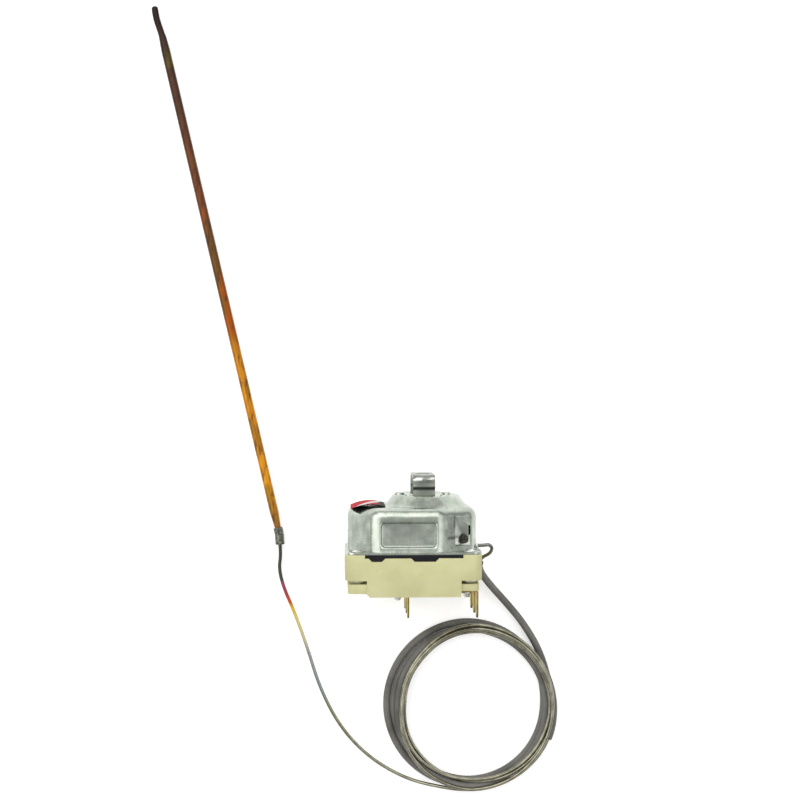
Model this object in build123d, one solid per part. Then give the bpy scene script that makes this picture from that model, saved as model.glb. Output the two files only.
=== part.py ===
"""Three-pole capillary thermostat with manual reset, lying on its long side.

Every body piece is made upright, as it would stand on its terminals: x to the
right, y to the back and h up from the underside of the ceramic base. lay()
then turns it onto its back face, so that h becomes +Y of the part's frame and
the front faces +Z. The free capillary and the bulb are made as they lie.
Lengths are in millimetres.
"""

from math import pi, radians, sqrt, tan
import os

from build123d import *

os.makedirs("parts", exist_ok=True)

# Ceramic base
BASE_WIDTH = 60.0
BASE_DEPTH = 46.0
BASE_HEIGHT = 18.5
END_X = BASE_WIDTH / 2
HALF_DEPTH = BASE_DEPTH / 2
BASE_CORNER_R = 4.0
LOWER_INSET = 1.2        # the ends of the base stand in below the windows
BLOCK_LEFT = -END_X + 9.5    # the full-depth block between the ends
BLOCK_RIGHT = END_X - 9.2
BLOCK_CHAMFER = 1.3
LEFT_LEDGE_H = 1.4       # underside of the left end
RIGHT_LEDGE_H = 2.5      # underside of the right end, which carries blades
RIGHT_LEDGE_X = BLOCK_RIGHT - 0.2
BASE_WALL = 4.0
POST_DEPTH = 6.4         # solid corner posts, from the front and back faces
RIB_THICK = 1.6
PLATE_THICK = 1.5        # of the insulating plate, let into the base's top
SEAT_H = BASE_HEIGHT - PLATE_THICK
CHAMBER_DEPTH = 8.3
FLOOR_H = SEAT_H - CHAMBER_DEPTH
WINDOW_ROOF = 1.5        # ceramic between the chambers and the windows
WINDOW_HIGH = 1.7        # slots that the rivets' lower heads lie in
WINDOW_TOP_H = FLOOR_H - WINDOW_ROOF
WINDOW_LOW_H = WINDOW_TOP_H - WINDOW_HIGH
WINDOW_DEPTH = 7.6

# Three poles, side by side from front to back
POLE_PITCH = (BASE_DEPTH - 17.0) / 2
CENTRE_ROW_X = -2.2
SIDE_ROW_X = END_X - 1.7
CENTRE_RIVET_X = CENTRE_ROW_X - 5.0
SIDE_RIVET_X = END_X - 6.3

# Blade terminals
BLADE_WIDTH = 6.3
BLADE_THICK = 0.8
BLADE_REACH = 10.0       # below the underside of the base
BLADE_HOLE_R = 0.85
BLADE_HOLE_UP = 3.9      # above the tip
BLADE_TIP_TAPER = 1.3
FOOT_LENGTH = 8.2

# Insulating plate
PLATE_LEFT = -END_X + 8.6    # where it shows between the corner posts
PLATE_RIGHT = END_X - 8.4
PLATE_END_MARGIN = 2.0   # ceramic rim beyond its two ends
PLATE_CLEARANCE = 0.2
LOBE_DROP = 1.3
LOBE_DEPTH = 2.2
LOBES = ((PLATE_LEFT + 1.8, PLATE_LEFT + 8.7), (PLATE_LEFT + 20.4, PLATE_LEFT + 32.2))

# Three poles' contact arms and contacts
ARM_THICK = 0.4
ARM_WIDTH = 3.4
ARM_ROOT_R = 2.6
ARM_HOLE_R = 1.9
ARM_ROCK = 0.4           # room above and below the arm's root
CONTACT_R = 1.5
CONTACT_THICK = 0.9
CONTACT_GAP = 0.05
FIXED_CONTACT_THICK = 1.0
POST_RIM = 2.2           # of the ceramic post around a centre rivet
CENTRE_SHANK_R = 1.3
CENTRE_HEAD_R = 2.45
CENTRE_HEAD_H = 2.4
SIDE_SHANK_R = 1.2
SIDE_HEAD_R = 2.2
SIDE_HEAD_H = 3.0
INNER_HEAD_H = 1.0
INNER_HEAD_R = 2.3

# Axis of the plateau's pad, the bridge, the reset pin and the crosshead
PLATEAU_X = 5.0

# Trip lever and crosshead
PIVOT_X = -5.0
PIVOT_RISE = 3.5         # of its axis above the insulating plate
PIVOT_H = BASE_HEIGHT + PIVOT_RISE
LEVER_THICK = 1.2
LEVER_EAR = 6.0
LEVER_EAR_LOW = 1.4      # below and above the pivot's axis
LEVER_H = PIVOT_H + LEVER_EAR_LOW    # underside of the lever's plate
LEVER_TOP = LEVER_H + LEVER_THICK
LEVER_WIDTH = 10.0
FORK_CLEARANCE = 0.5
FORK_REACH = 2.0         # past the crosshead's axis
TRIP_RISE = 1.5
PIVOT_PIN_R = 1.0
PIVOT_PIN_OUT = 0.5      # of its bracket at each end
PRESS_CLEARANCE = 0.02
RUNNING_CLEARANCE = 0.06
BRACKET_THICK = 1.2
BRACKET_TOP = PIVOT_H + 2.2
BAR_WIDTH = 3.2
BAR_HEIGHT = 3.0
BAR_EDGE = 1.6
BAR_OVERHANG = 2.7
BAR_NOTCH_DROP = 0.5     # how far the ribs' notches reach below the bar
STEM_SIDE = 6.0
NECK_R = 2.0
HEAD_SIDE = 8.0
HEAD_THICK = 1.9
HEAD_GAP = 0.5
HEAD_TOP = LEVER_TOP + HEAD_GAP + HEAD_THICK
GUIDE_CLEARANCE = 0.3

# Capsule, its carrier and the calibration screw
SHEET = 1.0              # of the steel cover
COVER_LEFT = -END_X + 1.2
CAPSULE_INSET = 14.8     # of its middle from the cover's left end
CAPSULE_X = COVER_LEFT + CAPSULE_INSET
CAPSULE_R = 11.0
CAPSULE_BODY = 2.4
CAPSULE_RIM = 0.8
CAPSULE_BUTTON_H = 0.9
BUTTON_GAP = 0.3
CAPSULE_H = LEVER_TOP + BUTTON_GAP + CAPSULE_BUTTON_H + CAPSULE_BODY / 2
CAPSULE_BOSS_R = 3.0
CAPSULE_BOSS_H = 1.2
LEVER_LEFT = CAPSULE_X - 3.0
RESET_TRAVEL = 2.0
PIN_STANDOFF = 0.5       # from the carrier above it and the crosshead below it
CARRIER_THICK = 1.5
CARRIER_WIDTH = 10.0
CARRIER_LEG_GAP = 1.1    # between the capsule's rim and the legs beside it
CARRIER_LEG_OUT = CAPSULE_R + CARRIER_LEG_GAP + CARRIER_THICK
CARRIER_FOOT = 2.3
CARRIER_REACH = 6.6      # of its right leg past the pin's axis
CARRIER_RIGHT_LEG_X = PLATEAU_X + CARRIER_REACH
PIN_LOW = HEAD_TOP + TRIP_RISE + PIN_STANDOFF + RESET_TRAVEL
CARRIER_LOW = PIN_LOW + PIN_STANDOFF
CARRIER_TOP = CARRIER_LOW + CARRIER_THICK
CALIBRATION_R = 2.5
CALIBRATION_HEAD_R = 3.6
CALIBRATION_HEAD_H = 2.0
CALIBRATION_STANDOFF = 0.3
HEADROOM = 2.4           # between the calibration screw and the cover

# Steel cover
COVER_RIGHT = END_X - 1.6
COVER_DEPTH = BASE_DEPTH - 2.0
COVER_FRONT = -COVER_DEPTH / 2
COVER_TOP = CARRIER_TOP + CALIBRATION_STANDOFF + CALIBRATION_HEAD_H + HEADROOM + SHEET
LEFT_FLAT = COVER_LEFT + 11.6    # the front face is flat between these two
RIGHT_FLAT = COVER_RIGHT - 16.9
LEFT_CHAMFER_DEPTH = 11.5
RIGHT_CHAMFER_DEPTH = 10.5
COVER_CORNER_R = 7.0
SHOULDER_R = 4.5
PLATEAU_SHIFT = 1.3      # of the plateau's middle to the right of the pin's axis
PLATEAU_FOOT_R = 18.3
PLATEAU_TOP_R = 14.7
PLATEAU_TOP = COVER_TOP + 4.7
PLATEAU_FILLET = 1.2
PLATEAU_ROOT = 1.2       # how far its cone runs on below the cover's top
PAD_WIDTH = 17.0
PAD_LENGTH = 22.0
PAD_HEIGHT = 0.6
PAD_CORNER_R = 2.0
PANEL_LEFT = LEFT_FLAT + 2.8
PANEL_RIGHT = RIGHT_FLAT - 1.5
PANEL_LOW_H = BASE_HEIGHT + 2.9
PANEL_HIGH_H = BASE_HEIGHT + 14.1
PANEL_SINK = 0.6
PANEL_SLOPE = 45         # degrees, of its drawn edges
PANEL_CORNER_R = 2.0
POCKET_LEFT = COVER_RIGHT - 10.0
POCKET_RIGHT = COVER_RIGHT - 3.0
POCKET_LOW_H = BASE_HEIGHT + 3.4
POCKET_RIGHT_H = BASE_HEIGHT + 12.9
POCKET_LEFT_H = BASE_HEIGHT + 16.5
POCKET_Y = COVER_FRONT + 8.6     # its flat floor
SLIT_WIDTH = 0.8
SLIT_LOW_H = BASE_HEIGHT + 7.8
SLIT_HIGH_H = BASE_HEIGHT + 12.0

# Threaded collars on the plateau, for fixing the thermostat
FIXING_HOLE_R = 1.65
FIXING_COLLAR_R = 2.2
FIXING_COLLAR_H = 0.8
FIXING_COLLAR_IN = 1.4
FIXING_EDGE = 0.7        # of plateau left outside a collar
FIXING_SPACING = 2 * (PLATEAU_TOP_R - PLATEAU_SHIFT - FIXING_COLLAR_R - FIXING_EDGE)

# Dark screw on the pocket's floor
POCKET_SCREW_X = POCKET_RIGHT - 2.8
POCKET_SCREW_H = BASE_HEIGHT + 6.0
POCKET_SCREW_R = 0.95
POCKET_SCREW_HEAD_R = 1.9
POCKET_SCREW_HEAD_H = 1.5
POCKET_SCREW_LENGTH = 4.0
POCKET_SCREW_EDGE = 0.4
POCKET_SCREW_SLOT = 0.7

# Rivets at the corners
RIVET_X = END_X - 5.5
RIVET_Y = HALF_DEPTH - 4.0
RIVET_SHANK_R = 1.3
RIVET_LOW_R = 3.1
RIVET_LOW_H = 1.4
RIVET_TOP_R = 2.5
RIVET_TOP_H = 1.0

# Bridge bracket over the reset pin, its feet on the plateau in front of and behind the pad
BRIDGE_WIDTH = 9.8
BRIDGE_THICK = 1.0
BRIDGE_TOP = PLATEAU_TOP + 9.3
BRIDGE_JOG = 0.9
BRIDGE_JOG_H = PLATEAU_TOP + 3.2
BRIDGE_BEND_R = 2.0
BRIDGE_HOLE_R = 3.2
BRIDGE_SEAM = 0.05       # between its feet and the pad

# Reset pin and its spring
BUTTON_R = 2.2
BUTTON_EDGE = 0.4
BUTTON_TOP_GAP = 1.2     # below the bridge
STEM_R = 1.5
COLLAR_R = 3.6
COLLAR_THICK = 1.2
SPRING_R = 2.5
SPRING_WIRE_R = 0.35
SPRING_TURNS = 5
SPRING_SLACK = 0.1

# Label
LABEL_THICK = 0.25
LABEL_LEFT = COVER_LEFT + 1.4
LABEL_GAP = 0.2          # between its right edge and the plateau
LABEL_BOW = 0.085        # rise of its bow above the cover's top, as a share of its width
LABEL_DROP = 0.7         # of its left edge, on the rounded shoulder
LABEL_LIFT = 0.1         # of its right edge, off the cover's top
LABEL_DEPTH = COVER_DEPTH - 19.0
LABEL_Y = -2.6

# Capillary from the capsule to the gland, its bends from the pin's axis and the gland's
FIRST_BEND = (-5.0, -6.0)
SECOND_BEND = (4.0, -5.6)
THIRD_BEND = (11.5, -1.8)
INSIDE_DROP = 2.4
INSIDE_LIFT = 0.5
INSIDE_STRAIGHT = 6.2

# Capillary, sleeve and bulb
CAPILLARY_R = 0.8
SLEEVE_R = 1.65
EXIT_Y = POCKET_Y + 6.4
EXIT_H = BASE_HEIGHT + 2.4
GLAND_OUT = 0.8
GLAND_FLANGE_R = 1.35
GLAND_R = 1.15
BULB_R = 2.0
COIL_X = 27.9
COIL_Y = -76.9
COIL_INNER_R = 31.0
COIL_BUILD = 9.2         # of its turns, from inside to outside
COIL_OUTER_R = COIL_INNER_R + COIL_BUILD
COIL_HEIGHT = 10.6
COIL_ROUND = 2.5

# Sizes that follow from the ones above
FLANGE_TOP = BASE_HEIGHT + SHEET
POST_Y = HALF_DEPTH - POST_DEPTH
POLES = tuple(POLE_PITCH * step for step in (-1, 0, 1))
FIXED_CONTACT_TOP = FLOOR_H + FIXED_CONTACT_THICK
ARM_H = FIXED_CONTACT_TOP + CONTACT_GAP + CONTACT_THICK
ARM_SEAT_H = ARM_H - ARM_ROCK
ARM_TOP = ARM_H + ARM_THICK
BAR_H = ARM_TOP + GUIDE_CLEARANCE
HEAD_H = LEVER_TOP + HEAD_GAP
NECK_H = LEVER_H - HEAD_GAP
CONE_SLOPE = (PLATEAU_FOOT_R - PLATEAU_TOP_R) / (PLATEAU_TOP - COVER_TOP)
PLATEAU_INNER = PLATEAU_TOP - SHEET
COLLAR_TOP = PLATEAU_INNER - GUIDE_CLEARANCE
COLLAR_LOW = COLLAR_TOP - COLLAR_THICK
BUTTON_TOP = BRIDGE_TOP - BRIDGE_THICK - BUTTON_TOP_GAP
MIDDLE_H = (BRIDGE_TOP - BLADE_REACH) / 2
EXIT_X = COVER_RIGHT + GLAND_OUT

# The free capillary as it lies, in the part's frame, chosen by hand
EXIT = (EXIT_X, EXIT_H - MIDDLE_H, HALF_DEPTH - EXIT_Y)
SLEEVE_START = (31.8, -10.2, 13.0)
LEAD_ROUTE = [
    EXIT,
    (31.8, EXIT[1], EXIT[2]),
    (34.5, 0.0, 29.7),
    (36.1, -1.8, 28.6),
    (35.2, -4.4, 26.6),
    (32.6, -6.2, 22.8),
    (31.8, -8.0, 17.8),
    SLEEVE_START,
]
SLEEVE_ROUTE = [
    SLEEVE_START,
    (31.8, -12.4, 8.2),
    (33.4, -16.2, 5.6),
    (37.8, -21.9, 4.9),
    (45.2, -30.0, 4.2),
    (53.0, -39.4, 2.6),
    (60.2, -51.2, 1.7),
    (64.2, -63.0, 1.7),
    (65.4, -70.6, 1.7),
]
COLLAR_FOOT = (-59.85, -2.4, 2.1)
TAIL_ROUTE = [
    (24.0, -113.4, 5.4),
    (12.4, -114.6, 3.2),
    (-1.6, -111.6, 1.0),
    (-18.2, -102.4, 0.8),
    (-32.0, -88.0, 0.8),
    (-41.6, -69.4, 0.8),
    (-47.4, -50.2, 0.8),
    (-53.6, -33.2, 0.8),
    (-58.3, -22.6, 0.8),
    (-60.4, -13.8, 1.2),
    (-59.6, -8.0, 1.9),
    COLLAR_FOOT,
]
BULB_FOOT = (-60.85, 5.3, 2.1)
BULB_NECK = (-113.8, 232.2, 2.0)
BULB_BEND = (-116.4, 239.6, 2.0)
BULB_TIP = (-117.3, 245.4, 2.0)
BULB_FOOT_R = 1.4
BULB_NECK_R = 1.6
BULB_STEM_R = 1.5
BULB_TAPER = 7.0
COLLAR_LENGTHS = (3.2, 4.6)
COLLAR_OUTER_R = 2.1


def lay(piece):
    """An upright piece turned onto its back face, its place in the part's frame."""
    return Pos(0, -MIDDLE_H, HALF_DEPTH) * Rot(-90, 0, 0) * piece


def save(name, piece):
    export_step(piece, f"parts/{name}.step")


def save_laid(name, piece):
    save(name, lay(piece))


def block(x, y, h):
    """A box between low and high values of x, y and h."""
    spans = (x, y, h)
    size = [high - low for low, high in spans]
    middle = [(high + low) / 2 for low, high in spans]
    return Pos(*middle) * Box(*size)


def rod(x, y, h, radius):
    """An upright round rod between two heights."""
    low, high = h
    return Pos(x, y, (low + high) / 2) * Cylinder(radius, high - low)


def turned(x, y, outline):
    """A turned piece about the upright axis at x, y, from (radius, h) points."""
    face = make_face(Polyline([(radius, 0, h) for radius, h in outline], close=True))
    return Pos(x, y, 0) * revolve(face, Axis.Z)


def dome(x, y, h, radius, rise):
    """A rivet's rounded head on the face at height h; rise is negative for one below."""
    edge = rise / 3
    outline = FilletPolyline(
        (0, 0, h), (radius, 0, h), (radius, 0, h + edge), (radius / 2, 0, h + rise),
        (0, 0, h + rise), radius=abs(rise) / 4, close=False,
    )
    face = make_face(outline + Line((0, 0, h + rise), (0, 0, h)))
    return Pos(x, y, 0) * revolve(face, Axis.Z)


def strap(points, radius, width, thick, across):
    """A folded strip along a path of points, with the same bend at each corner."""
    path = FilletPolyline(*points, radius=radius)
    section = Plane(origin=path @ 0, z_dir=path % 0, x_dir=across)
    return sweep(section * Rectangle(width, thick), path=path)


def tube(route, radius):
    """A round tube along straight runs joined by arcs as large as the runs allow."""
    places = [Vector(*point) for point in route]
    bends = []
    for before, here, after in zip(places, places[1:], places[2:]):
        turn = radians((here - before).get_angle(after - here))
        shorter = min((here - before).length, (after - here).length)
        bends.append(0.45 * shorter / tan(turn / 2))
    path = FilletPolyline(*places, radius=bends)
    section = Plane(origin=path @ 0, z_dir=path % 0) * Circle(radius)
    solid = sweep(section, path=path)
    expected = pi * radius**2 * path.length
    print("arc radii", [round(bend, 1) for bend in bends], end=" ")
    print("length", round(path.length, 1), "volume share", round(solid.volume / expected, 4))
    return solid


def rivet_places():
    return [(x, y) for x in (-RIVET_X, RIVET_X) for y in (-RIVET_Y, RIVET_Y)]


def lobe(span, grow):
    """One hanging lobe of the insulating plate at the front, grown by a clearance."""
    left, right = span
    low = SEAT_H - LOBE_DROP - grow
    outline = Polyline(
        (left - grow, 0, SEAT_H), (left + LOBE_DROP, 0, low),
        (right - LOBE_DROP, 0, low), (right + grow, 0, SEAT_H), close=True,
    )
    solid = extrude(make_face(outline), amount=LOBE_DEPTH + grow, dir=(0, 1, 0))
    return Pos(0, -HALF_DEPTH + PLATE_CLEARANCE - grow, 0) * solid


def ceramic_base():
    upper = extrude(
        Pos(0, 0, WINDOW_TOP_H) * RectangleRounded(BASE_WIDTH, BASE_DEPTH, BASE_CORNER_R),
        amount=BASE_HEIGHT - WINDOW_TOP_H,
    )
    inset = 2 * LOWER_INSET
    ends = extrude(
        RectangleRounded(BASE_WIDTH - inset, BASE_DEPTH - inset, BASE_CORNER_R - LOWER_INSET),
        amount=WINDOW_TOP_H,
    )
    middle = block((BLOCK_LEFT, BLOCK_RIGHT), (-HALF_DEPTH, HALF_DEPTH), (0, WINDOW_TOP_H))
    base = upper + ends + middle
    deep = (-HALF_DEPTH, HALF_DEPTH)
    base -= block((-END_X, BLOCK_LEFT), deep, (0, LEFT_LEDGE_H))
    base -= block((RIGHT_LEDGE_X, END_X), deep, (0, RIGHT_LEDGE_H))
    low_edge = base.edges().filter_by(Axis.Y).group_by(Axis.Z)[0].sort_by(Axis.X)[0]
    base = chamfer(low_edge, BLOCK_CHAMFER)
    for side in (-1, 1):
        window_y = sorted((side * (HALF_DEPTH - WINDOW_DEPTH), side * HALF_DEPTH))
        base -= block((-END_X, BLOCK_LEFT), window_y, (WINDOW_LOW_H, WINDOW_TOP_H))
        base -= block((BLOCK_RIGHT, END_X), window_y, (WINDOW_LOW_H, WINDOW_TOP_H))
    inner_x = END_X - BASE_WALL
    inner_y = HALF_DEPTH - BASE_WALL
    chamber = block((-inner_x, inner_x), (-POST_Y, POST_Y), (FLOOR_H, SEAT_H))
    chamber += block(
        (BLOCK_LEFT + RIB_THICK, RIGHT_LEDGE_X - RIB_THICK), (-inner_y, inner_y), (FLOOR_H, SEAT_H)
    )
    base -= chamber
    for side in (-1, 1):
        rib = block(
            (-inner_x, inner_x),
            (side * POLE_PITCH / 2 - RIB_THICK / 2, side * POLE_PITCH / 2 + RIB_THICK / 2),
            (FLOOR_H, SEAT_H),
        )
        notch_half = BAR_WIDTH / 2 + 2 * GUIDE_CLEARANCE
        rib -= block(
            (PLATEAU_X - notch_half, PLATEAU_X + notch_half), deep, (BAR_H - BAR_NOTCH_DROP, SEAT_H)
        )
        base += rib
    base -= block((PLATE_LEFT, PLATE_RIGHT), deep, (SEAT_H, BASE_HEIGHT))
    base -= block(
        (-END_X + PLATE_END_MARGIN, END_X - PLATE_END_MARGIN), (-POST_Y, POST_Y),
        (SEAT_H, BASE_HEIGHT),
    )
    for span in LOBES:
        notch = lobe(span, PLATE_CLEARANCE)
        base -= notch
        base -= mirror(notch, about=Plane.XZ)
    for y in POLES:
        base += rod(CENTRE_RIVET_X, y, (FLOOR_H, ARM_SEAT_H), CENTRE_SHANK_R + POST_RIM)
        base -= rod(CENTRE_RIVET_X, y, (0, ARM_SEAT_H), CENTRE_SHANK_R + PRESS_CLEARANCE)
        base -= rod(SIDE_RIVET_X, y, (0, FLOOR_H), SIDE_SHANK_R + PRESS_CLEARANCE)
        half = BLADE_WIDTH / 2 + PLATE_CLEARANCE
        base -= block(
            (CENTRE_ROW_X - FOOT_LENGTH - PLATE_CLEARANCE, CENTRE_ROW_X + BLADE_THICK),
            (y - half, y + half), (0, BLADE_THICK),
        )
    for x, y in rivet_places():
        base -= rod(x, y, (WINDOW_LOW_H, BASE_HEIGHT), RIVET_SHANK_R + PRESS_CLEARANCE)
    return base


def insulating_plate():
    low, high = SEAT_H, BASE_HEIGHT
    gap = PLATE_CLEARANCE
    edge_y = HALF_DEPTH - gap
    plate = block((PLATE_LEFT + gap, PLATE_RIGHT - gap), (-edge_y, edge_y), (low, high))
    end_x = END_X - PLATE_END_MARGIN - gap
    plate += block((-end_x, end_x), (-POST_Y + gap, POST_Y - gap), (low, high))
    for span in LOBES:
        tab = lobe(span, 0)
        plate += tab
        plate += mirror(tab, about=Plane.XZ)
    hole = STEM_SIDE / 2 + GUIDE_CLEARANCE
    plate -= block((PLATEAU_X - hole, PLATEAU_X + hole), (-hole, hole), (low, high))
    return plate


def cover_form(inset):
    """The drawn form of the cover, or of the space inside it one sheet further in."""
    back = -COVER_FRONT
    outline = Polyline(
        (LEFT_FLAT, COVER_FRONT), (RIGHT_FLAT, COVER_FRONT),
        (COVER_RIGHT, COVER_FRONT + RIGHT_CHAMFER_DEPTH),
        (COVER_RIGHT, back - RIGHT_CHAMFER_DEPTH), (RIGHT_FLAT, back),
        (LEFT_FLAT, back), (COVER_LEFT, back - LEFT_CHAMFER_DEPTH),
        (COVER_LEFT, COVER_FRONT + LEFT_CHAMFER_DEPTH), close=True,
    )
    face = make_face(outline)
    if inset:
        face = offset(face, amount=-inset, kind=Kind.INTERSECTION)
    face = fillet(face.vertices(), COVER_CORNER_R - inset)
    top = COVER_TOP - inset
    form = extrude(Pos(0, 0, BASE_HEIGHT) * face, amount=top - BASE_HEIGHT)
    form = fillet(form.faces().sort_by(Axis.Z)[-1].edges(), SHOULDER_R - inset)
    foot_r = PLATEAU_FOOT_R + CONE_SLOPE * PLATEAU_ROOT - inset
    foot_h = COVER_TOP - PLATEAU_ROOT - inset
    plateau_top = PLATEAU_TOP - inset
    cone = turned(PLATEAU_X + PLATEAU_SHIFT, 0, [
        (0, foot_h), (foot_r, foot_h),
        (PLATEAU_TOP_R - inset, plateau_top), (0, plateau_top),
    ])
    cone = fillet(cone.faces().sort_by(Axis.Z)[-1].edges(), PLATEAU_FILLET)
    form += cone
    pad = extrude(
        Pos(PLATEAU_X, 0, plateau_top - SHEET)
        * RectangleRounded(PAD_WIDTH - 2 * inset, PAD_LENGTH - 2 * inset, PAD_CORNER_R - inset / 2),
        amount=PAD_HEIGHT + SHEET,
    )
    form += pad
    panel = RectangleRounded(
        PANEL_RIGHT - PANEL_LEFT + 2 * inset, PANEL_HIGH_H - PANEL_LOW_H + 2 * inset,
        PANEL_CORNER_R + inset,
    )
    middle = ((PANEL_LEFT + PANEL_RIGHT) / 2, COVER_FRONT, (PANEL_LOW_H + PANEL_HIGH_H) / 2)
    facing = Plane(origin=middle, x_dir=(1, 0, 0), z_dir=(0, 1, 0))
    form -= extrude(facing * panel, amount=PANEL_SINK + inset, taper=PANEL_SLOPE)
    left, right = POCKET_LEFT - inset, POCKET_RIGHT + inset
    pocket = make_face(Polyline(
        (left, 0, POCKET_LOW_H - inset), (right, 0, POCKET_LOW_H - inset),
        (right, 0, POCKET_RIGHT_H + inset), (left, 0, POCKET_LEFT_H + inset), close=True,
    ))
    pocket = extrude(pocket, amount=HALF_DEPTH + POCKET_Y + inset, dir=(0, 1, 0))
    return form - Pos(0, -HALF_DEPTH, 0) * pocket


def steel_cover():
    flange = extrude(
        Pos(0, 0, BASE_HEIGHT) * RectangleRounded(BASE_WIDTH, BASE_DEPTH, BASE_CORNER_R),
        amount=SHEET,
    )
    cover = cover_form(0) + flange
    cover -= cover_form(SHEET)
    for side in (-1, 1):
        x = PLATEAU_X + side * FIXING_SPACING / 2
        low, high = PLATEAU_INNER - FIXING_COLLAR_IN, PLATEAU_TOP + FIXING_COLLAR_H
        cover += rod(x, 0, (low, high), FIXING_COLLAR_R)
        cover -= rod(x, 0, (low, high), FIXING_HOLE_R)
    cover -= rod(PLATEAU_X, 0, (COVER_TOP, BRIDGE_TOP), BUTTON_R + GUIDE_CLEARANCE)
    for x, y in rivet_places():
        cover -= rod(x, y, (BASE_HEIGHT, FLANGE_TOP), RIVET_SHANK_R + PRESS_CLEARANCE)
    cover -= Pos(COVER_RIGHT, EXIT_Y, EXIT_H) * Rot(0, 90, 0) * Cylinder(GLAND_R, 4 * SHEET)
    screw_hole = Cylinder(POCKET_SCREW_R + PRESS_CLEARANCE, 4 * SHEET)
    cover -= Pos(POCKET_SCREW_X, POCKET_Y, POCKET_SCREW_H) * Rot(90, 0, 0) * screw_hole
    cover -= block(
        (POCKET_RIGHT - SLIT_WIDTH, POCKET_RIGHT), (POCKET_Y - SHEET, POCKET_Y + 2 * SHEET),
        (SLIT_LOW_H, SLIT_HIGH_H),
    )
    return cover


def cover_rivets():
    rivets = []
    for x, y in rivet_places():
        rivet = rod(x, y, (WINDOW_TOP_H, FLANGE_TOP), RIVET_SHANK_R)
        rivet += dome(x, y, WINDOW_TOP_H, RIVET_LOW_R, -RIVET_LOW_H)
        rivet += dome(x, y, FLANGE_TOP, RIVET_TOP_R, RIVET_TOP_H)
        rivets.append(rivet)
    return Compound(rivets)


def bridge_bracket():
    low_y = PAD_LENGTH / 2 + BRIDGE_THICK / 2 + BRIDGE_SEAM
    high_y = low_y + BRIDGE_JOG
    top = BRIDGE_TOP - BRIDGE_THICK / 2
    half = [
        (0, low_y, PLATEAU_TOP), (0, low_y, BRIDGE_JOG_H), (0, high_y, BRIDGE_JOG_H + BRIDGE_JOG),
        (0, high_y, top),
    ]
    other = [(x, -y, h) for x, y, h in reversed(half)]
    bends = [BRIDGE_THICK, BRIDGE_THICK, BRIDGE_BEND_R, BRIDGE_BEND_R, BRIDGE_THICK, BRIDGE_THICK]
    strip = strap(half + other, bends, BRIDGE_WIDTH, BRIDGE_THICK, (1, 0, 0))
    strip -= rod(0, 0, (BRIDGE_JOG_H, BRIDGE_TOP + BRIDGE_THICK), BRIDGE_HOLE_R)
    return Pos(PLATEAU_X, 0, 0) * strip


def reset_pin():
    return turned(PLATEAU_X, 0, [
        (0, PIN_LOW), (STEM_R, PIN_LOW), (STEM_R, COLLAR_LOW), (COLLAR_R, COLLAR_LOW),
        (COLLAR_R, COLLAR_TOP), (BUTTON_R, COLLAR_TOP),
        (BUTTON_R, BUTTON_TOP - BUTTON_EDGE), (BUTTON_R - BUTTON_EDGE, BUTTON_TOP), (0, BUTTON_TOP),
    ])


def reset_spring():
    low = CARRIER_TOP + SPRING_WIRE_R
    height = COLLAR_LOW - CARRIER_TOP - 2 * SPRING_WIRE_R - SPRING_SLACK
    path = Helix(pitch=height / SPRING_TURNS, height=height, radius=SPRING_R)
    section = Plane(origin=path @ 0, z_dir=path % 0) * Circle(SPRING_WIRE_R)
    return Pos(PLATEAU_X, 0, low) * sweep(section, path=path, is_frenet=True)


def diaphragm_capsule():
    low, high = CAPSULE_H - CAPSULE_BODY / 2, CAPSULE_H + CAPSULE_BODY / 2
    rim_low, rim_high = CAPSULE_H - CAPSULE_RIM / 2, CAPSULE_H + CAPSULE_RIM / 2
    step = CAPSULE_R / 5
    dip = CAPSULE_BODY / 6
    button = low - CAPSULE_BUTTON_H
    outline = [
        (0, button), (step, button), (step, low),
        (2 * step, low + dip), (3 * step, low), (4 * step, low + dip), (CAPSULE_R, rim_low),
        (CAPSULE_R, rim_high), (4 * step, high - dip), (3 * step, high), (2 * step, high - dip),
        (CAPSULE_BOSS_R, high), (CAPSULE_BOSS_R, high + CAPSULE_BOSS_H), (0, high + CAPSULE_BOSS_H),
    ]
    return turned(CAPSULE_X, 0, outline)


def capsule_carrier():
    middle = CARRIER_TOP - CARRIER_THICK / 2
    foot_h = BASE_HEIGHT + CARRIER_THICK / 2
    leg_y = CARRIER_LEG_OUT - CARRIER_THICK / 2
    over = strap([
        (CAPSULE_X, -leg_y - CARRIER_FOOT, foot_h), (CAPSULE_X, -leg_y, foot_h),
        (CAPSULE_X, -leg_y, middle), (CAPSULE_X, leg_y, middle), (CAPSULE_X, leg_y, foot_h),
        (CAPSULE_X, leg_y + CARRIER_FOOT, foot_h),
    ], CARRIER_THICK, CARRIER_WIDTH, CARRIER_THICK, (1, 0, 0))
    arm = strap([
        (CAPSULE_X, 0, middle), (CARRIER_RIGHT_LEG_X, 0, middle), (CARRIER_RIGHT_LEG_X, 0, foot_h),
        (CARRIER_RIGHT_LEG_X + CARRIER_FOOT, 0, foot_h),
    ], CARRIER_THICK, CARRIER_WIDTH, CARRIER_THICK, (0, 1, 0))
    carrier = over + arm
    carrier -= rod(CAPSULE_X, 0, (CARRIER_LOW, CARRIER_TOP), CALIBRATION_R + PRESS_CLEARANCE)
    return carrier - rod(PLATEAU_X, 0, (CARRIER_LOW, CARRIER_TOP), STEM_R + RUNNING_CLEARANCE)


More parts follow.
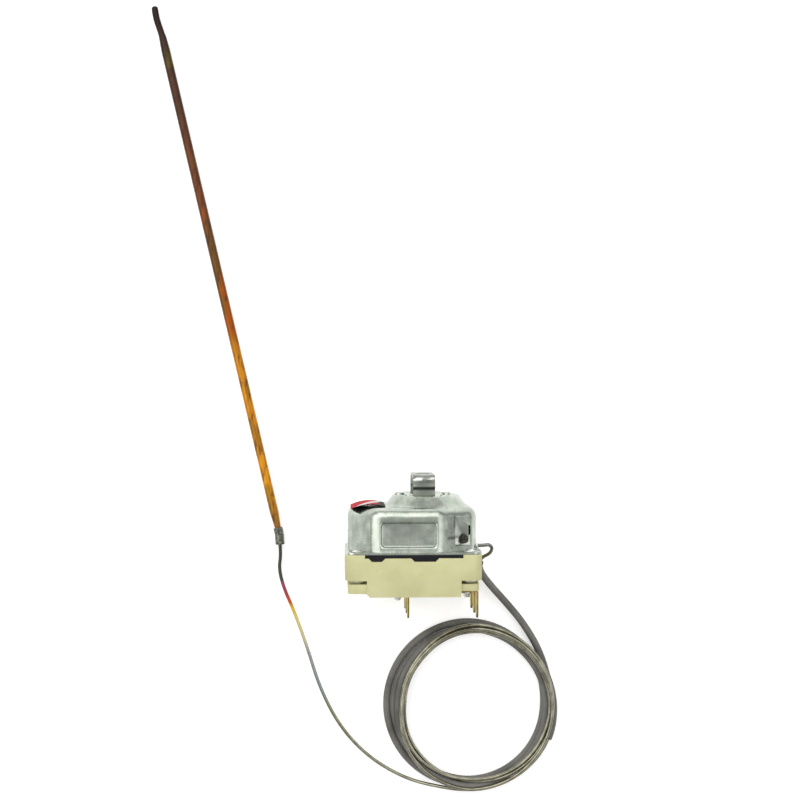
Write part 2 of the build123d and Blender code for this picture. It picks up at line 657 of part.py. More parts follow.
def calibration_screw():
    low = CAPSULE_H + CAPSULE_BODY / 2 + CAPSULE_BOSS_H
    head = CARRIER_TOP + CALIBRATION_STANDOFF
    screw = rod(CAPSULE_X, 0, (low, head), CALIBRATION_R)
    screw += rod(CAPSULE_X, 0, (head, head + CALIBRATION_HEAD_H), CALIBRATION_HEAD_R)
    slot = block(
        (CAPSULE_X - CALIBRATION_HEAD_R, CAPSULE_X + CALIBRATION_HEAD_R),
        (-CALIBRATION_HEAD_R / 6, CALIBRATION_HEAD_R / 6),
        (head + CALIBRATION_HEAD_H / 2, head + CALIBRATION_HEAD_H),
    )
    return screw - slot


def trip_lever():
    half = LEVER_WIDTH / 2
    fork_end = PLATEAU_X + FORK_REACH
    lever = block((LEVER_LEFT, fork_end), (-half, half), (LEVER_H, LEVER_TOP))
    slot_half = NECK_R + FORK_CLEARANCE
    slot_left = PLATEAU_X - slot_half
    lever -= block((slot_left, fork_end), (-slot_half, slot_half), (LEVER_H, LEVER_TOP))
    ear_low = PIVOT_H - LEVER_EAR_LOW
    for side in (-1, 1):
        ear_y = sorted((side * (half - LEVER_THICK), side * half))
        ear_x = (PIVOT_X - LEVER_EAR / 2, PIVOT_X + LEVER_EAR / 2)
        lever += block(ear_x, ear_y, (ear_low, LEVER_H))
    bore = Cylinder(PIVOT_PIN_R + RUNNING_CLEARANCE, LEVER_WIDTH)
    return lever - Pos(PIVOT_X, 0, PIVOT_H) * Rot(90, 0, 0) * bore


def pivot_bracket():
    inner = LEVER_WIDTH / 2 + 2 * GUIDE_CLEARANCE
    middle = inner + BRACKET_THICK / 2
    bracket = strap([
        (PIVOT_X, -middle, BRACKET_TOP), (PIVOT_X, -middle, BASE_HEIGHT + BRACKET_THICK / 2),
        (PIVOT_X, middle, BASE_HEIGHT + BRACKET_THICK / 2), (PIVOT_X, middle, BRACKET_TOP),
    ], BRACKET_THICK, LEVER_EAR, BRACKET_THICK, (1, 0, 0))
    bore = Cylinder(PIVOT_PIN_R + PRESS_CLEARANCE, 2 * (inner + BRACKET_THICK))
    return bracket - Pos(PIVOT_X, 0, PIVOT_H) * Rot(90, 0, 0) * bore


def lever_pin():
    length = LEVER_WIDTH + 4 * GUIDE_CLEARANCE + 2 * (BRACKET_THICK + PIVOT_PIN_OUT)
    return Pos(PIVOT_X, 0, PIVOT_H) * Rot(90, 0, 0) * Cylinder(PIVOT_PIN_R, length)


def crosshead():
    reach = POLE_PITCH + BAR_OVERHANG
    side = BAR_WIDTH / 2
    bar = block((PLATEAU_X - side, PLATEAU_X + side), (-reach, reach), (BAR_H, BAR_H + BAR_HEIGHT))
    low_edges = bar.edges().filter_by(Axis.Y).group_by(Axis.Z)[0]
    bar = chamfer(low_edges, (BAR_WIDTH - BAR_EDGE) / 2)
    half = STEM_SIDE / 2
    head = HEAD_SIDE / 2
    bar += block((PLATEAU_X - half, PLATEAU_X + half), (-half, half), (BAR_H + BAR_HEIGHT, NECK_H))
    bar += rod(PLATEAU_X, 0, (NECK_H, HEAD_H), NECK_R)
    bar += block((PLATEAU_X - head, PLATEAU_X + head), (-head, head), (HEAD_H, HEAD_TOP))
    return bar


def contact_arm(y):
    root = rod(CENTRE_RIVET_X, y, (ARM_H, ARM_TOP), ARM_ROOT_R)
    half = ARM_WIDTH / 2
    strip = block((CENTRE_RIVET_X, SIDE_RIVET_X), (y - half, y + half), (ARM_H, ARM_TOP))
    tip = rod(SIDE_RIVET_X, y, (ARM_H, ARM_TOP), half)
    hole = rod(CENTRE_RIVET_X, y, (ARM_H, ARM_TOP), ARM_HOLE_R)
    return root + strip + tip - hole


def moving_contacts():
    return Compound([rod(SIDE_RIVET_X, y, (ARM_H - CONTACT_THICK, ARM_H), CONTACT_R) for y in POLES])


def fixed_contacts():
    return Compound([rod(SIDE_RIVET_X, y, (FLOOR_H, FIXED_CONTACT_TOP), CONTACT_R) for y in POLES])


def blade_terminal(y, foot_left, foot_h, blade_x):
    """A folded blade: its foot lies under the ceramic and its blade points down."""
    middle_h = foot_h - BLADE_THICK / 2
    tip_h = -BLADE_REACH
    blade = strap(
        [(foot_left, y, middle_h), (blade_x, y, middle_h), (blade_x, y, tip_h)],
        BLADE_THICK, BLADE_WIDTH, BLADE_THICK, (0, 1, 0),
    )
    taper = BLADE_TIP_TAPER
    for side in (-1, 1):
        corner = make_face(Polyline(
            (0, side * BLADE_WIDTH / 2, tip_h), (0, side * (BLADE_WIDTH / 2 - taper), tip_h),
            (0, side * BLADE_WIDTH / 2, tip_h + 1.5 * taper), close=True,
        ))
        wedge = extrude(corner, amount=BLADE_THICK, dir=(1, 0, 0), both=True)
        blade -= Pos(blade_x, y, 0) * wedge
    bore = Rot(0, 90, 0) * Cylinder(BLADE_HOLE_R, 2 * BLADE_THICK)
    return blade - Pos(blade_x, y, tip_h + BLADE_HOLE_UP) * bore


def centre_terminal(y):
    blade = blade_terminal(y, CENTRE_ROW_X - FOOT_LENGTH, BLADE_THICK, CENTRE_ROW_X)
    return blade - rod(CENTRE_RIVET_X, y, (0, BLADE_THICK), CENTRE_SHANK_R + PRESS_CLEARANCE)


def side_terminal(y):
    foot_left = RIGHT_LEDGE_X + PLATE_CLEARANCE
    blade = blade_terminal(y, foot_left, RIGHT_LEDGE_H, SIDE_ROW_X)
    hole_h = (RIGHT_LEDGE_H - BLADE_THICK, RIGHT_LEDGE_H)
    return blade - rod(SIDE_RIVET_X, y, hole_h, SIDE_SHANK_R + PRESS_CLEARANCE)


def centre_rivets():
    rivets = []
    for y in POLES:
        inner = ARM_TOP + ARM_ROCK
        rivet = rod(CENTRE_RIVET_X, y, (0, inner), CENTRE_SHANK_R)
        rivet += dome(CENTRE_RIVET_X, y, 0, CENTRE_HEAD_R, -CENTRE_HEAD_H)
        rivet += dome(CENTRE_RIVET_X, y, inner, INNER_HEAD_R, INNER_HEAD_H)
        rivets.append(rivet)
    return Compound(rivets)


def side_rivets():
    rivets = []
    foot_h = RIGHT_LEDGE_H - BLADE_THICK
    for y in POLES:
        rivet = rod(SIDE_RIVET_X, y, (foot_h, FLOOR_H), SIDE_SHANK_R)
        rivet += dome(SIDE_RIVET_X, y, foot_h, SIDE_HEAD_R, -SIDE_HEAD_H)
        rivets.append(rivet)
    return Compound(rivets)


def paper_label():
    left_h = COVER_TOP - LABEL_DROP
    right_h = COVER_TOP + LABEL_THICK / 2 + LABEL_LIFT
    right = PLATEAU_X + PLATEAU_SHIFT - PLATEAU_FOOT_R - LABEL_GAP
    rise = LABEL_BOW * (right - LABEL_LEFT)
    crest = ((LABEL_LEFT + right) / 2, LABEL_Y, COVER_TOP + rise)
    bow = ThreePointArc((LABEL_LEFT, LABEL_Y, left_h), crest, (right, LABEL_Y, right_h))
    section = Plane(origin=bow @ 0, z_dir=bow % 0, x_dir=(0, 1, 0))
    return sweep(section * Rectangle(LABEL_DEPTH, LABEL_THICK), path=bow)


def pocket_screw():
    head_r, head_h = POCKET_SCREW_HEAD_R, POCKET_SCREW_HEAD_H
    edge = POCKET_SCREW_EDGE
    screw = turned(0, 0, [
        (0, -head_h), (head_r - edge, -head_h), (head_r, edge - head_h), (head_r, 0),
        (POCKET_SCREW_R, 0), (POCKET_SCREW_R, POCKET_SCREW_LENGTH), (0, POCKET_SCREW_LENGTH),
    ])
    half = POCKET_SCREW_SLOT / 2
    slot = block((-head_r, head_r), (-half, half), (-head_h, -head_h / 2))
    return Pos(POCKET_SCREW_X, POCKET_Y, POCKET_SCREW_H) * Rot(-90, 0, 0) * (screw - slot)


def capillary_gland():
    eye = Cylinder(GLAND_R - PRESS_CLEARANCE, 3 * SHEET, align=(Align.CENTER, Align.CENTER, Align.MAX))
    eye += Cylinder(GLAND_FLANGE_R, GLAND_OUT, align=(Align.CENTER, Align.CENTER, Align.MAX))
    eye -= Cylinder(CAPILLARY_R + PRESS_CLEARANCE, 10 * SHEET)
    return Pos(EXIT_X, EXIT_Y, EXIT_H) * Rot(0, 90, 0) * eye


def capillary_inside():
    rim = (CAPSULE_R + PRESS_CLEARANCE) / sqrt(2)
    route = [
        (CAPSULE_X + rim, -rim, CAPSULE_H),
        (PLATEAU_X + FIRST_BEND[0], EXIT_Y + FIRST_BEND[1], CAPSULE_H),
        (PLATEAU_X + SECOND_BEND[0], EXIT_Y + SECOND_BEND[1], CAPSULE_H - INSIDE_DROP),
        (PLATEAU_X + THIRD_BEND[0], EXIT_Y + THIRD_BEND[1], EXIT_H + INSIDE_LIFT),
        (EXIT_X - INSIDE_STRAIGHT, EXIT_Y, EXIT_H),
        (EXIT_X, EXIT_Y, EXIT_H),
    ]
    return tube(route, CAPILLARY_R)


def capillary_coil():
    """The outer shape of the wound stretch as one closed ring."""
    across = (COIL_INNER_R + COIL_OUTER_R) / 2
    section = Pos(across, COIL_HEIGHT / 2) * RectangleRounded(
        COIL_OUTER_R - COIL_INNER_R, COIL_HEIGHT, COIL_ROUND
    )
    ring = revolve(Plane.XZ * section, Axis.Z)
    return Pos(COIL_X, COIL_Y, 0) * ring


def along(start, end, outline):
    """A turned piece about the line from start to end, from (radius, distance) points."""
    start, end = Vector(*start), Vector(*end)
    face = make_face(Polyline([(radius, 0, far) for radius, far in outline], close=True))
    return Plane(origin=start, z_dir=end - start) * revolve(face, Axis.Z)


def bulb():
    length = (Vector(*BULB_NECK) - Vector(*BULB_FOOT)).length
    body = along(BULB_FOOT, BULB_NECK, [
        (0, 0), (BULB_FOOT_R, 0), (BULB_R, BULB_TAPER), (BULB_R, length - BULB_TAPER),
        (BULB_NECK_R, length), (0, length),
    ])
    inside = Vector(*BULB_NECK) + (Vector(*BULB_FOOT) - Vector(*BULB_NECK)).normalized() * BULB_TAPER
    stem = tube([tuple(inside), BULB_NECK, BULB_BEND, BULB_TIP], BULB_STEM_R)
    stem = fillet(stem.faces().sort_by(Axis.Y)[-1].edges(), 0.8 * BULB_STEM_R)
    return body + stem


def bulb_collar():
    first, second = COLLAR_LENGTHS
    radius = COLLAR_OUTER_R
    heading = (Vector(*BULB_FOOT) - Vector(*BULB_NECK)).normalized()
    joint = Vector(*BULB_FOOT) + heading * first
    upper = along(BULB_FOOT, joint, [(0, 0), (radius, 0), (radius, first), (0, first)])
    reach = (joint - Vector(*COLLAR_FOOT)).length
    lower = along(COLLAR_FOOT, joint, [(0, 0), (radius, 0), (radius, reach), (0, reach)])
    return upper + lower


save_laid("ceramic_base", ceramic_base())
save_laid("insulating_plate", insulating_plate())
save_laid("steel_cover", steel_cover())
save_laid("cover_rivets", cover_rivets())
save_laid("bridge_bracket", bridge_bracket())
save_laid("paper_label", paper_label())
save_laid("pocket_screw", pocket_screw())
save_laid("reset_pin", reset_pin())
save_laid("reset_spring", reset_spring())
save_laid("diaphragm_capsule", diaphragm_capsule())
save_laid("capsule_carrier", capsule_carrier())
save_laid("calibration_screw", calibration_screw())
save_laid("trip_lever", trip_lever())
save_laid("pivot_bracket", pivot_bracket())
save_laid("lever_pin", lever_pin())
save_laid("crosshead", crosshead())
save_laid("moving_contacts", moving_contacts())
save_laid("fixed_contacts", fixed_contacts())
save_laid("centre_rivets", centre_rivets())
save_laid("side_rivets", side_rivets())
for number, pole_y in enumerate(POLES, start=1):
    save_laid(f"contact_arm_{number}", contact_arm(pole_y))
    save_laid(f"centre_terminal_{number}", centre_terminal(pole_y))
    save_laid(f"side_terminal_{number}", side_terminal(pole_y))
save_laid("capillary_gland", capillary_gland())
save_laid("capillary_inside", capillary_inside())
save("capillary_lead", tube(LEAD_ROUTE, CAPILLARY_R))
save("sleeve_lead", tube(SLEEVE_ROUTE, SLEEVE_R))
save("capillary_coil", capillary_coil())
save("capillary_tail", tube(TAIL_ROUTE, CAPILLARY_R))
save("bulb_collar", bulb_collar())
save("bulb", bulb())
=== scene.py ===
"""A three-pole capillary thermostat lying on its long side, its capillary coiled in front of it."""

import math

import bmesh
import bpy
from mathutils import Matrix, Vector


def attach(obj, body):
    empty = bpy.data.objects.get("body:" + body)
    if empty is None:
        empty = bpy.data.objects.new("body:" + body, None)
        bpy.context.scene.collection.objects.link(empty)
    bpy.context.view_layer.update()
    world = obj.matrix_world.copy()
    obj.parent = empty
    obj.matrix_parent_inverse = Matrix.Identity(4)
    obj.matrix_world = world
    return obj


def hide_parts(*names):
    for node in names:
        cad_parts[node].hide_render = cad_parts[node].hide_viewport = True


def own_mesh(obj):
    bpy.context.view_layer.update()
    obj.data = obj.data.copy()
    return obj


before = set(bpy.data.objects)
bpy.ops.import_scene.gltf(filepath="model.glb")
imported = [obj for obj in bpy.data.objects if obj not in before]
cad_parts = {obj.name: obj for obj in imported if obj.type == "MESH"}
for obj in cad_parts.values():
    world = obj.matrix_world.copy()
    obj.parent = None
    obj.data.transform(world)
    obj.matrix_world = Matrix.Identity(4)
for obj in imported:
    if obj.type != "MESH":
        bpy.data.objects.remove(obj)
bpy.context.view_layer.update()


# Ceramic base: one pressed block of cream steatite with three contact chambers.
# It is unglazed, so it is matt, with fine grain, faint clouds, a few brown specks
# and dusty hollows. The crosshead inside is pressed from the same steatite.
class Wire:
    """One output of a shader node. Arithmetic on wires adds Math nodes."""

    def __init__(self, tree, socket):
        self.tree = tree
        self.socket = socket

    def node(self, kind, settings=None, inputs=None, output=0):
        """A new shader node of this kind, as a wire from one of its outputs."""
        made = self.tree.nodes.new("ShaderNode" + kind)
        for name, value in (settings or {}).items():
            if name == "stops":
                ramp = made.color_ramp
                while len(ramp.elements) < len(value):
                    ramp.elements.new(0.5)
                for element, (place, colour) in zip(ramp.elements, value):
                    element.position = place
                    element.color = (*colour, 1)
            else:
                setattr(made, name, value)
        for name, value in (inputs or {}).items():
            if isinstance(value, Wire):
                self.tree.links.new(value.socket, made.inputs[name])
            else:
                made.inputs[name].default_value = value
        return Wire(self.tree, made.outputs[output])

    def math(self, operation, other):
        return self.node("Math", {"operation": operation}, {0: self, 1: other})

    def __add__(self, other):
        return self.math("ADD", other)

    def __sub__(self, other):
        return self.math("SUBTRACT", other)

    def __mul__(self, other):
        return self.math("MULTIPLY", other)

    def __truediv__(self, other):
        return self.math("DIVIDE", other)

    def __rsub__(self, other):
        return self.node("Math", {"operation": "SUBTRACT"}, {0: other, 1: self})

    __radd__ = __add__
    __rmul__ = __mul__

    def part(self, number):
        """The x, y or z of a place or a direction, by its number."""
        return self.node("SeparateXYZ", None, {0: self}, number)

    def over(self, low, high):
        """0 below low, 1 above high and smooth between them."""
        settings = {"interpolation_type": "SMOOTHSTEP"}
        return self.node("MapRange", settings, {"Value": self, "From Min": low, "From Max": high})

    def band(self, rise, full, fall, gone):
        """0 up to rise, 1 from full to fall and 0 again from gone on."""
        return self.over(rise, full) * (1 - self.over(fall, gone))

    def ramp(self, *stops):
        return self.node("ValToRGB", {"stops": stops}, {"Fac": self})

    def mix(self, first, second):
        """first where this is 0 and second where it is 1, as colours."""
        first = first if isinstance(first, Wire) else (*first, 1)
        second = second if isinstance(second, Wire) else (*second, 1)
        return self.node("Mix", {"data_type": "RGBA"}, {"Factor": self, 6: first, 7: second}, 2)


class Finish:
    """A material on one Principled shader, patterned by the piece's own place."""

    # Corners within one_point are merged, and faces that turn less than flat_turn.
    # Edges that turn more than sharp_turn are rounded, and shading is smooth over
    # those that turn less than smooth_turn.
    one_point = 0.000002
    flat_turn = math.radians(0.4)
    sharp_turn = math.radians(38)
    smooth_turn = math.radians(42)

    def __init__(self, name, plain):
        self.material = bpy.data.materials.new(name)
        self.material.use_nodes = True
        self.tree = self.material.node_tree
        self.shader = self.tree.nodes["Principled BSDF"]
        start = self.tree.nodes.new("ShaderNodeTexCoord")
        self.place = Wire(self.tree, start.outputs["Object"])
        self.facing = Wire(self.tree, start.outputs["Normal"])
        self.sheet = Wire(self.tree, start.outputs["UV"])
        self.x = self.place.part(0)
        self.y = self.place.part(1)
        self.z = self.place.part(2)
        for socket, value in plain.items():
            self.feed(socket, value)

    def feed(self, socket, value):
        if isinstance(value, Wire):
            self.tree.links.new(value.socket, self.shader.inputs[socket])
        elif isinstance(value, tuple):
            self.shader.inputs[socket].default_value = (*value, 1)
        else:
            self.shader.inputs[socket].default_value = value

    def spread(self, size, stretch, seed):
        """The piece's own place, in steps of size metres and moved by seed steps."""
        scale = tuple(1 / (size * part) for part in stretch)
        inputs = {"Vector": self.place, "Scale": scale, "Location": (seed, seed, seed)}
        return self.place.node("Mapping", None, inputs)

    def noise(self, size, detail=3.0, stretch=(1, 1, 1), seed=0.0):
        """Cloudy noise whose blotches are about size metres across."""
        moved = self.spread(size, stretch, seed)
        return moved.node("TexNoise", None, {"Vector": moved, "Scale": 1.0, "Detail": detail})

    def cells(self, size, seed):
        """The distance from the nearest of many points that lie about size metres apart."""
        moved = self.spread(size, (1, 1, 1), seed)
        return moved.node("TexVoronoi", None, {"Vector": moved, "Scale": 1.0})

    def field(self, low, high, edge):
        """1 between two corners in x and y and 0 past them, over an edge of that half width."""
        across = self.x.band(low[0] - edge, low[0] + edge, high[0] - edge, high[0] + edge)
        return across * self.y.band(low[1] - edge, low[1] + edge, high[1] - edge, high[1] + edge)

    def bump(self, height, depth, strength=1.0):
        inputs = {"Height": height, "Distance": depth, "Strength": strength}
        self.feed("Normal", height.node("Bump", None, inputs))

    def onto(self, *nodes):
        for name in nodes:
            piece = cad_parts[name]
            piece.data.materials.clear()
            piece.data.materials.append(self.material)

    def finishing(self, node, soft):
        """A smooth copy takes the node's place, its sharp edges rounded by soft metres, if any."""
        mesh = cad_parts[node].data.copy()
        mesh.materials.clear()
        mesh.materials.append(self.material)
        piece = bpy.data.objects.new(node + "_finished", mesh)
        bpy.context.scene.collection.objects.link(piece)
        bpy.ops.object.select_all(action="DESELECT")
        piece.select_set(True)
        bpy.context.view_layer.objects.active = piece
        bpy.ops.object.mode_set(mode="EDIT")
        bpy.ops.mesh.select_all(action="SELECT")
        bpy.ops.mesh.remove_doubles(threshold=self.one_point)
        bpy.ops.mesh.dissolve_limited(angle_limit=self.flat_turn)
        bpy.ops.object.mode_set(mode="OBJECT")
        if soft:
            edge = piece.modifiers.new("rounded", "BEVEL")
            edge.width = soft
            edge.segments = 2
            edge.limit_method = "ANGLE"
            edge.angle_limit = self.sharp_turn
            bpy.ops.object.modifier_apply(modifier="rounded")
        bpy.ops.object.shade_smooth_by_angle(angle=self.smooth_turn)
        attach(piece, "housing")
        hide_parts(node)
        return piece


ceramic = Finish("steatite", {"Roughness": 0.55, "Specular IOR Level": 0.35})
speck_brown, hollow_tan = (0.34, 0.29, 0.15), (0.52, 0.49, 0.30)
grain = ceramic.noise(0.0006, 4)
cloud = ceramic.noise(0.011, 3, seed=3)
speck = 1 - ceramic.cells(0.0042, seed=7).over(0.05, 0.13)
hollow = ceramic.noise(0.004, 2, seed=11).over(0.62, 0.8)
cream = cloud.ramp(
    (0.3, (0.51, 0.49, 0.26)), (0.55, (0.57, 0.555, 0.30)), (0.8, (0.60, 0.585, 0.34)),
)
specked = (speck * 0.22).mix(cream, speck_brown)
ceramic.feed("Base Color", (hollow * 0.25).mix(specked, hollow_tan))
ceramic.feed("Roughness", 0.48 + grain * 0.2)
ceramic.bump(grain + cloud * 0.6 - speck * 0.8, 0.00006)
ceramic.finishing("ceramic_base", 0.00025)
ceramic.onto("crosshead")

# Insulating plate: pressed black board between base and cover, held by the four
# rivets. Its edge shows at the front, dull black with paler fibres.
board = Finish("black_board", {"Roughness": 0.7, "Specular IOR Level": 0.2})
board_black, fibre_grey = (0.008, 0.008, 0.011), (0.03, 0.03, 0.036)
fibre = board.noise(0.0009, 3, stretch=(8, 0.4, 1))
board.feed("Base Color", fibre.over(0.55, 0.75).mix(board_black, fibre_grey))
board.bump(fibre, 0.00005)
board.onto("insulating_plate")

# Steel cover: one deep-drawn sheet, zinc plated, with a flange that lies on the
# base. The drawing left soft waves, fine lines and a rolled edge round the sunk
# panel. The plating has a faint green and yellow cast. The pocket floor is painted
# with shade, its upper left edge with a painted shadow, and the crease by the screw
# with a painted dark reflection.
zinc = Finish("zinc_plated_sheet", {"Metallic": 1.0})
smudge_grey, streak_grey = (0.30, 0.33, 0.28), (0.30, 0.32, 0.28)
# The near-black grey of the painted shade, shadow and dark reflection in the pocket.
painted_shade_grey = (0.09, 0.10, 0.085)
waves = zinc.noise(0.013, 2, seed=2)
scuffs = zinc.noise(0.0011, 5, stretch=(6, 1, 1), seed=5)
fine = zinc.noise(0.00035, 2, seed=9)
cast = zinc.noise(0.006, 3, seed=21)
smudge = zinc.noise(0.0035, 4, seed=31).over(0.58, 0.74)
streaks = zinc.noise(0.0016, 4, stretch=(1, 9, 1), seed=51)
plate_tone = cast.ramp(
    (0.3, (0.36, 0.40, 0.35)), (0.5, (0.45, 0.49, 0.43)), (0.7, (0.55, 0.58, 0.51)),
)
smudged = (smudge * 0.25).mix(plate_tone, smudge_grey)
cover_tone = (streaks.over(0.5, 0.72) * 0.35).mix(smudged, streak_grey)
front_side = zinc.z.over(0.034, 0.0345)
pocket_floor_shade = ((0.0182, 0.0018), (0.0262, 0.0132), 0.0003, 0.22)
pocket_edge_shadow = ((0.0177, 0.0085), (0.0187, 0.0135), 0.0005, 0.80)
screw_crease_reflection = ((0.0148, 0.0034), (0.0202, 0.0048), 0.0007, 0.75)
# Painted shade on the pocket floor, a painted shadow along its upper left edge and a painted dark
# reflection in the crease by the screw, on the front only.
for low, high, edge, share in (pocket_floor_shade, pocket_edge_shadow, screw_crease_reflection):
    painted_dark = zinc.field(low, high, edge) * share * front_side
    cover_tone = painted_dark.mix(cover_tone, painted_shade_grey)
zinc.feed("Base Color", cover_tone)
zinc.feed("Roughness", 0.20 + scuffs * 0.12 + smudge * 0.08)
panel_low, panel_high = (-0.0142, 0.0004), (0.0101, 0.0111)
panel_roll = 0.0008
sunk = zinc.field(panel_low, panel_high, panel_roll) * zinc.z.over(0.041, 0.0415)
relief = waves + streaks * 0.02 + scuffs * 0.012 + fine * 0.004 - sunk * 0.4
zinc.bump(relief, 0.0011, 0.6)
zinc.finishing("steel_cover", 0.00035)

# Bridge bracket: a strip of the same plated steel folded over the reset pin, its
# feet pressed against the raised top. The rolled bend under the top carries a
# painted highlight in patches, and the joggle above the feet lies in shade.
strip = Finish("zinc_plated_strip", {"Metallic": 1.0})
# A light grey for the painted highlight on the bend, and a near black for the joggle's shade.
painted_highlight_grey, joggle_dark = (0.64, 0.65, 0.61), (0.03, 0.033, 0.03)
rolled = strip.noise(0.0022, 3, stretch=(4, 1, 1), seed=4)
patchy = strip.noise(0.0016, 4, stretch=(1.6, 0.7, 1), seed=61).over(0.42, 0.60)
bend = strip.y.band(0.0286, 0.0292, 0.0303, 0.0308)
joggle = strip.y.band(0.0246, 0.0249, 0.0259, 0.0263)
greyed = rolled.ramp((0.35, (0.14, 0.155, 0.135)), (0.65, (0.29, 0.31, 0.275)))
# Painted highlight: patches on the rolled bend under the top are lighter.
highlighted = (bend * patchy).mix(greyed, painted_highlight_grey)
strip.feed("Base Color", (joggle * 0.7).mix(highlighted, joggle_dark))
strip.feed("Roughness", 0.26 + strip.noise(0.0009, 4, seed=8) * 0.16)
strip.bump(rolled * 0.3 + strip.noise(0.0004, 2) * 0.03, 0.0003, 0.5)
strip.finishing("bridge_bracket", 0.00016)

# Rivets: plated steel, headed over by a spinning tool that left fine marks. The
# capillary's gland is pressed from the same bright steel.
rivet = Finish("rivet_steel", {"Metallic": 1.0, "Roughness": 0.3})
tool_marks = rivet.noise(0.0005, 3, seed=6)
rivet.feed("Base Color", tool_marks.ramp((0.35, (0.62, 0.62, 0.58)), (0.7, (0.95, 0.95, 0.91))))
rivet.feed("Roughness", 0.2 + rivet.noise(0.0012, 3) * 0.3)
rivet.bump(tool_marks, 0.00009)
for name in ("cover_rivets", "centre_rivets", "side_rivets", "capillary_gland"):
    rivet.finishing(name, 0.00012)

# Blade terminals: stamped and folded brass, riveted under the base. They are bright
# yellow where new, bronze at the fold and dark at the sheared tips.
brass = Finish("stamped_brass", {"Metallic": 1.0})
root_bronze, tip_dark = (0.36, 0.22, 0.09), (0.10, 0.09, 0.06)
blade_root = -0.0215
stain = brass.noise(0.0026, 4, stretch=(1, 3, 1), seed=12)
down = blade_root - brass.y
bright = stain.ramp(
    (0.3, (0.26, 0.20, 0.04)), (0.55, (0.50, 0.40, 0.09)), (0.8, (0.70, 0.60, 0.22)),
)
rooted = ((1 - down.over(0.0, 0.0035)) * 0.7).mix(bright, root_bronze)
brass.feed("Base Color", (down.over(0.0078, 0.0098) * 0.85).mix(rooted, tip_dark))
brass.feed("Roughness", 0.22 + stain * 0.25)
brass.bump(brass.noise(0.0005, 3, stretch=(1, 8, 1)), 0.00004)
for number in (1, 2, 3):
    brass.finishing(f"centre_terminal_{number}", 0.00008)
    brass.finishing(f"side_terminal_{number}", 0.00008)

# Contacts: three bronze arms inside the base, each with a silver button that meets a
# fixed one. The silver has dulled a little in patches.
silver = Finish("contact_silver", {"Metallic": 1.0, "Roughness": 0.3})
dulling = silver.noise(0.0008)
silver.feed("Base Color", dulling.ramp((0.3, (0.55, 0.53, 0.50)), (0.7, (0.86, 0.85, 0.82))))
silver.onto("fixed_contacts", "moving_contacts")
bronze = Finish("spring_bronze", {"Metallic": 1.0})
toning = bronze.noise(0.003)
bronze.feed("Base Color", toning.ramp((0.3, (0.50, 0.28, 0.14)), (0.7, (0.74, 0.48, 0.27))))
bronze.feed("Roughness", 0.25 + bronze.noise(0.0007) * 0.2)
for number in (1, 2, 3):
    bronze.onto(f"contact_arm_{number}")

# Mechanism: turned and folded steel under the cover, plainly plated and lightly oiled.
# The reset spring is wound from bare wire and has a mesh of its own, which nothing here shortens as
# the pin goes down.
plain_steel = Finish("plated_steel", {"Metallic": 1.0})
oily = plain_steel.noise(0.004, 3, seed=15)
plain_steel.feed("Base Color", oily.ramp((0.3, (0.40, 0.40, 0.38)), (0.7, (0.66, 0.66, 0.63))))
plain_steel.feed("Roughness", 0.25 + oily * 0.2)
plain_steel.bump(plain_steel.noise(0.0004, 2), 0.00003)
plain_steel.onto(
    "diaphragm_capsule", "capsule_carrier", "calibration_screw", "trip_lever", "pivot_bracket",
    "lever_pin", "reset_pin",
)
wire_steel = Finish("spring_wire", {"Metallic": 1.0, "Roughness": 0.3})
wire_marks = wire_steel.noise(0.001)
wire_steel.feed("Base Color", wire_marks.ramp((0.3, (0.28, 0.28, 0.28)), (0.7, (0.5, 0.5, 0.5))))
spring = wire_steel.finishing("reset_spring", 0)
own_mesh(spring)

# Paper label: stuck over the cover's top edge and lifting in a low bow. It is left
# bare: a red field, a slanting white bar, red again and a dark brown end. Its
# underside and edges are painted nearly black with shade.
paper = Finish("printed_paper", {"Specular IOR Level": 0.15})
red, white_grey, brown = (0.52, 0.010, 0.03), (0.78, 0.76, 0.74), (0.05, 0.042, 0.03)
# The near black is painted shade for the label's underside and edges.
worn_grey, painted_shade_black = (0.30, 0.24, 0.22), (0.02, 0.017, 0.015)
label_middle = 0.038
bar_slant, end_slant = 0.45, 0.1
crease = paper.noise(0.003, 3, seed=17)
slanted = paper.x + (paper.z - label_middle) * bar_slant
white_bar = slanted.band(-0.0256, -0.0252, -0.0216, -0.0212)
brown_end = (paper.x + (paper.z - label_middle) * end_slant).over(-0.0166, -0.0160)
printed = brown_end.mix(white_bar.mix(red, white_grey), brown)
worn = (crease.over(0.55, 0.8) * 0.2).mix(printed, worn_grey)
# Painted shade: faces that do not look up are nearly black.
paper.feed("Base Color", paper.facing.part(1).over(0.1, 0.3).mix(painted_shade_black, worn))
paper.feed("Roughness", 0.6 + crease * 0.2)
paper.bump(crease, 0.0002, 0.5)
paper.onto("paper_label")

# Pocket screw: a small steel screw, turned into the cover's front pocket. It is
# blackened, and browner where the black is thin.
black = Finish("blackened_screw", {"Metallic": 1.0, "Roughness": 0.4})
blacking = black.noise(0.001)
black.feed("Base Color", blacking.ramp((0.3, (0.03, 0.03, 0.028)), (0.75, (0.11, 0.10, 0.08))))
black.bump(black.noise(0.0005), 0.00006)
black.onto("pocket_screw")

